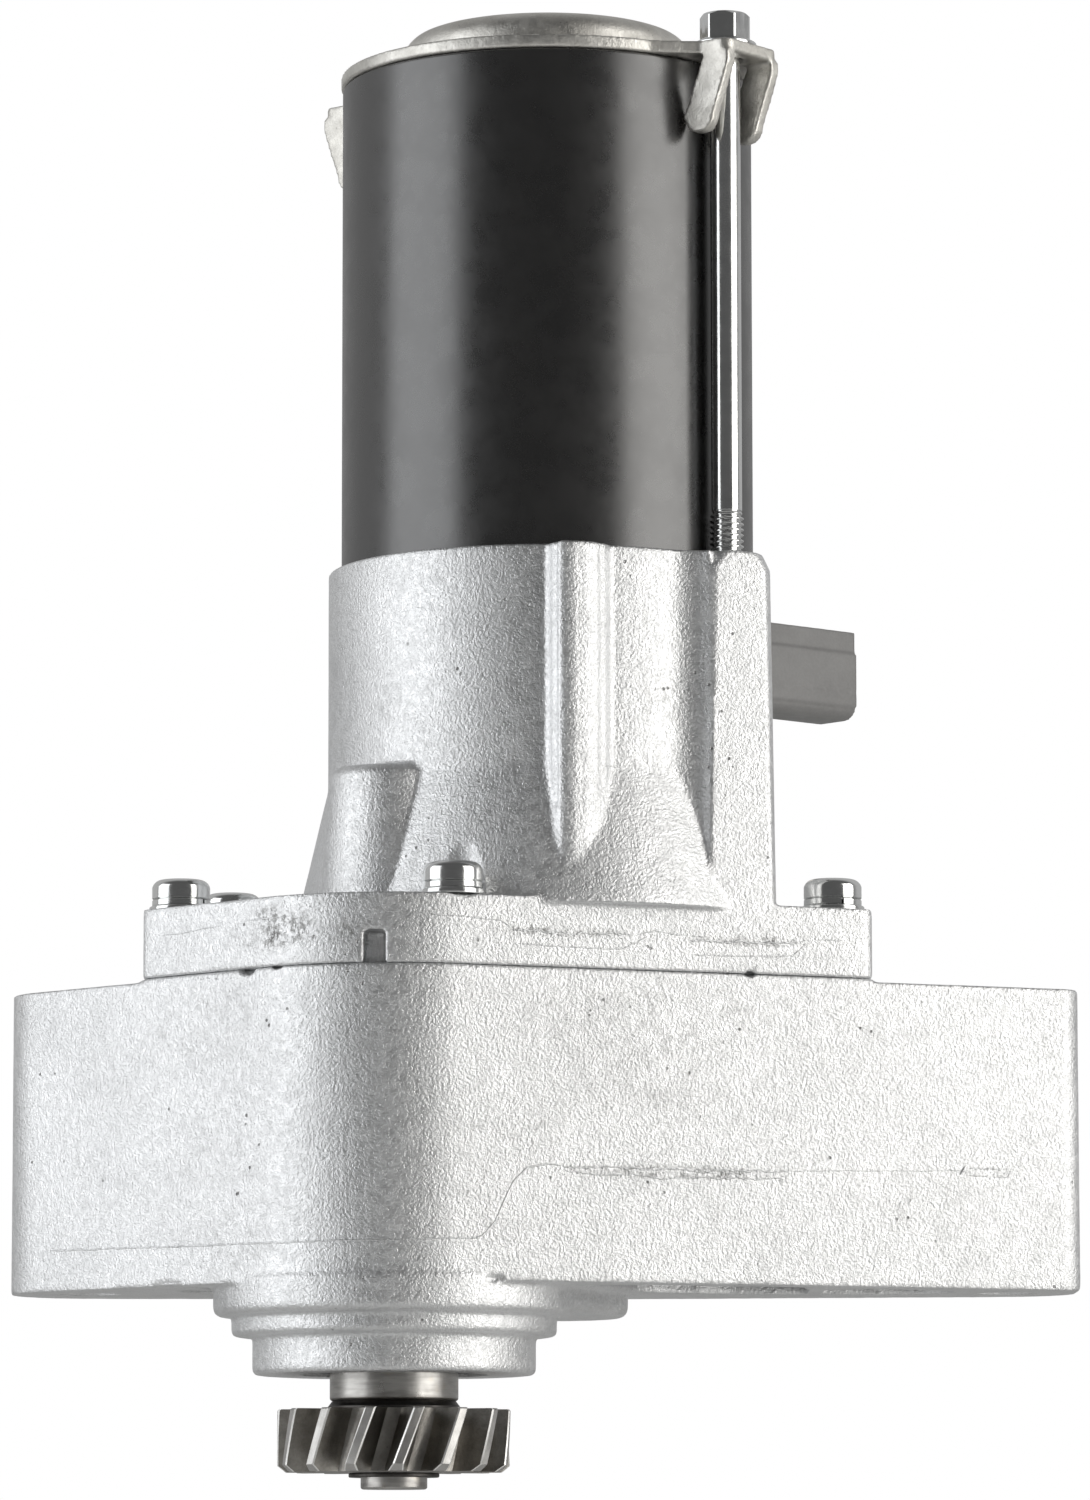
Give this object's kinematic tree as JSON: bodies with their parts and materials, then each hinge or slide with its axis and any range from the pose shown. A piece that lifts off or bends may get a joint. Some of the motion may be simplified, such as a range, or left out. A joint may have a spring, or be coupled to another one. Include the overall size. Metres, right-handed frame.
{
  "type": "starter motor",
  "caption": "Offset gear reduction starter motor with a stepped nose, a helical output pinion, mounting ears, a black motor tube in a die cast bracket and a parallel solenoid.",
  "frame": {"origin": "midway between the two mounting holes, on the mounting face of the ears", "axes": "+Z from the mounting face up along the motor axis towards the end plate, +X towards the ear further from the output pinion, +Y towards the solenoid"},
  "size_m": [0.1902, 0.1512, 0.262],
  "materials": {
    "cast_aluminium": "as cast, fine grain",
    "black_paint": "semi gloss black",
    "zinc_plate": "zinc plated, grainy",
    "bright_zinc": "bright zinc plated",
    "steel": "ground",
    "hardened_steel": "machined, case hardened",
    "dark_oxide": "black phosphate",
    "bronze": "sintered",
    "copper": "bare",
    "winding": "varnished",
    "ferrite": "sintered",
    "phenolic": "moulded",
    "carbon": "pressed carbon",
    "grey_plastic": "glass filled, fine grain",
    "nylon": "natural",
    "rubber": "matt",
    "bright_steel": "polished"
  },
  "bodies": {
    "casing": {"gear_housing": "cast_aluminium", "motor_bracket": "cast_aluminium", "housing_dowels": "steel", "bracket_screws": "bright_zinc", "screw_spring_washers": "bright_zinc", "screw_plain_washers": "bright_zinc", "yoke": "black_paint", "field_magnets": "ferrite", "end_plate": "zinc_plate", "through_bolts": "bright_zinc", "rear_bush": "bronze", "brush_holder": "phenolic", "brushes": "carbon", "brush_springs": "steel", "front_bearing_outer_ring": "bright_steel", "end_bush": "bronze", "center_plate": "cast_aluminium", "center_plate_screws": "bright_zinc", "idler_pin": "steel", "clutch_bearing_outer_rings": "bright_steel", "nose_bush": "bronze", "oil_seal": "rubber", "top_bush": "bronze", "lever_holder": "zinc_plate", "pivot_pin": "steel", "solenoid_can": "zinc_plate", "solenoid_bobbin": "nylon", "solenoid_winding": "winding", "solenoid_core": "steel", "plunger_spring": "steel", "solenoid_cap": "grey_plastic", "terminal_studs": "copper", "terminal_nuts": "bright_zinc", "connector_blade": "copper", "motor_lead": "rubber"},
    "armature": {"armature_shaft": "steel", "armature_core": "steel", "armature_winding": "winding", "commutator": "copper", "armature_gear": "steel", "front_bearing_inner_ring": "bright_steel", "front_bearing_balls": "bright_steel"},
    "idler": {"idler_gear": "hardened_steel", "idler_bearing": "bright_steel"},
    "clutch_outer": {"clutch_gear": "hardened_steel", "clutch_rollers": "bright_steel", "clutch_cover": "zinc_plate"},
    "clutch_hub": {"clutch_inner": "hardened_steel", "clutch_bearing_inner_rings": "bright_steel", "clutch_bearing_balls": "bright_steel"},
    "shift_collar": {"shift_collar": "zinc_plate"},
    "output": {"pinion_shaft": "steel", "output_pinion": "hardened_steel", "pinion_spacer": "dark_oxide", "pinion_washer": "dark_oxide", "collar_snap_rings": "dark_oxide"},
    "lever": {"shift_lever": "zinc_plate"},
    "plunger": {"plunger": "steel", "plunger_pin": "steel"},
    "contact": {"contact_disc": "copper"}
  },
  "joints": [
    {"name": "armature_spin", "type": "hinge", "parent": "casing", "child": "armature", "pos_m": [0, -0.0053, 0.1], "axis": [0, 0, 1], "continuous": true},
    {"name": "idler_spin", "type": "hinge", "parent": "casing", "child": "idler", "pos_m": [-0.01799, 0.00401, 0.025], "axis": [0, 0, 1], "continuous": true},
    {"name": "clutch_gear_spin", "type": "hinge", "parent": "casing", "child": "clutch_outer", "pos_m": [-0.02681, -0.02701, 0.025], "axis": [0, 0, 1], "continuous": true},
    {"name": "plunger_slide", "type": "slide", "parent": "casing", "child": "plunger", "axis": [0, 0, 1], "range_m": [0, 0.012], "stiffness_N_per_m": 900, "springref_m": -0.012, "deforming": ["plunger_spring"]},
    {"name": "lever_pivot", "type": "hinge", "parent": "casing", "child": "lever", "pos_m": [-0.00481, 0.01375, 0.054], "axis": [0.8799, -0.4751, 0], "range_deg": [0, 14.78]},
    {"name": "collar_slide", "type": "slide", "parent": "casing", "child": "shift_collar", "axis": [0, 0, -1], "range_m": [0, 0.012]},
    {"name": "pinion_spin", "type": "hinge", "parent": "shift_collar", "child": "output", "pos_m": [-0.02681, -0.02701, 0], "axis": [0, 0, 1], "continuous": true},
    {"name": "clutch_hub_spin", "type": "hinge", "parent": "casing", "child": "clutch_hub", "pos_m": [-0.02681, -0.02701, 0.025], "axis": [0, 0, 1], "continuous": true},
    {"name": "contact_slide", "type": "slide", "parent": "casing", "child": "contact", "axis": [0, 0, 1], "range_m": [0, 0.003]}
  ],
  "couplings": [
    {"joint": "idler_spin", "follows": "armature_spin", "ratio": -0.6875},
    {"joint": "clutch_gear_spin", "follows": "armature_spin", "ratio": 0.40741},
    {"joint": "lever_pivot", "follows": "plunger_slide", "rad_per_m": 21.471},
    {"joint": "collar_slide", "follows": "plunger_slide", "ratio": 1},
    {"joint": "contact_slide", "follows": "plunger_slide", "ratio": 0.25},
    {"joint": "clutch_hub_spin", "follows": "pinion_spin", "ratio": 1}
  ]
}
